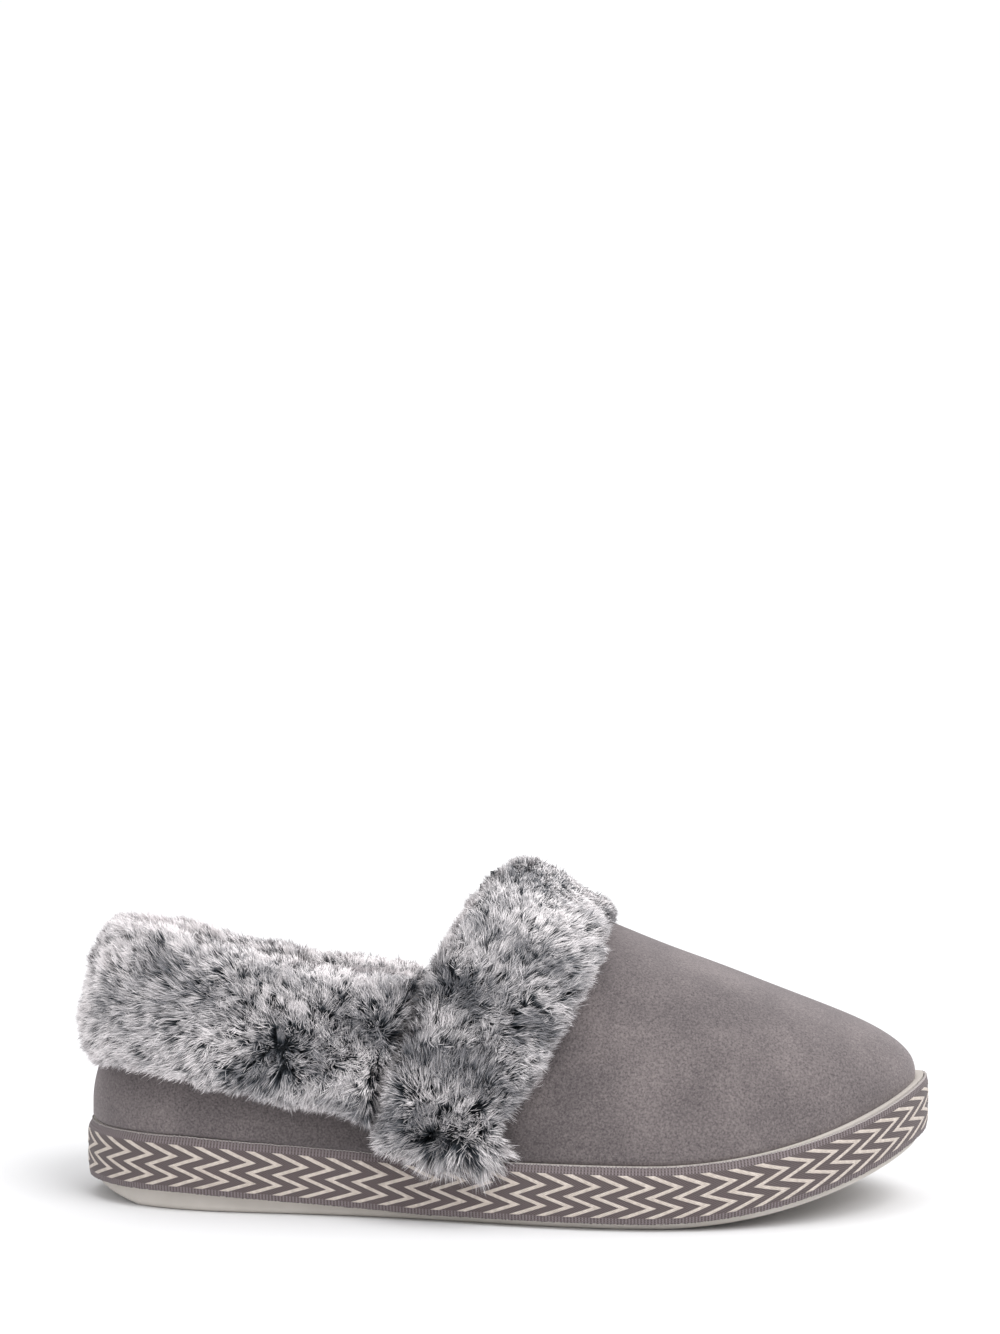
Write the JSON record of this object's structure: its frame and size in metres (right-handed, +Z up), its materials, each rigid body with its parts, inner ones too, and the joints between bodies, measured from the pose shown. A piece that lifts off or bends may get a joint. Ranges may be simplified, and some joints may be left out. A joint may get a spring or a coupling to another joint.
{
  "type": "house slipper",
  "caption": "Closed house slipper for the right foot: suede upper, deep pile cuff and instep strap, moulded sole with a herringbone tape round its side.",
  "frame": {"origin": "on the ground under the tread, at the middle of the sole's length", "axes": "+X to the toe, +Z up, -Y to the outer (lateral) side of a right foot"},
  "size_m": [0.2657, 0.101, 0.1082],
  "materials": {
    "sole_rubber": "light grey moulded rubber, matt",
    "woven_tape": "woven tape, cream herringbone figure on a grey-mauve ground",
    "foam": "soft closed-cell foam",
    "board": "pressed fibre insole board",
    "thread": "twisted sewing thread",
    "sock_pile": "short plush pile",
    "grey_suede": "grey suede with a short nap",
    "pile_fabric": "long pile fabric, silver tips over blue-black roots",
    "lining_pile": "curly pile lining",
    "stiffener": "thermoplastic stiffener sheet"
  },
  "bodies": {
    "root": {"cup_outsole": "sole_rubber", "herringbone_tape": "woven_tape", "midsole_foam": "foam", "footbed_foam": "foam", "insole_board": "board", "strobel_stitches": "thread", "footbed_sock": "sock_pile", "vamp": "grey_suede", "lateral_quarter": "grey_suede", "medial_quarter": "grey_suede", "lateral_cuff": "pile_fabric", "medial_cuff": "pile_fabric", "instep_strap": "pile_fabric", "toe_puff": "stiffener", "heel_counter": "stiffener", "vamp_lining": "lining_pile", "lateral_quarter_lining": "lining_pile", "medial_quarter_lining": "lining_pile"}
  },
  "joints": []
}
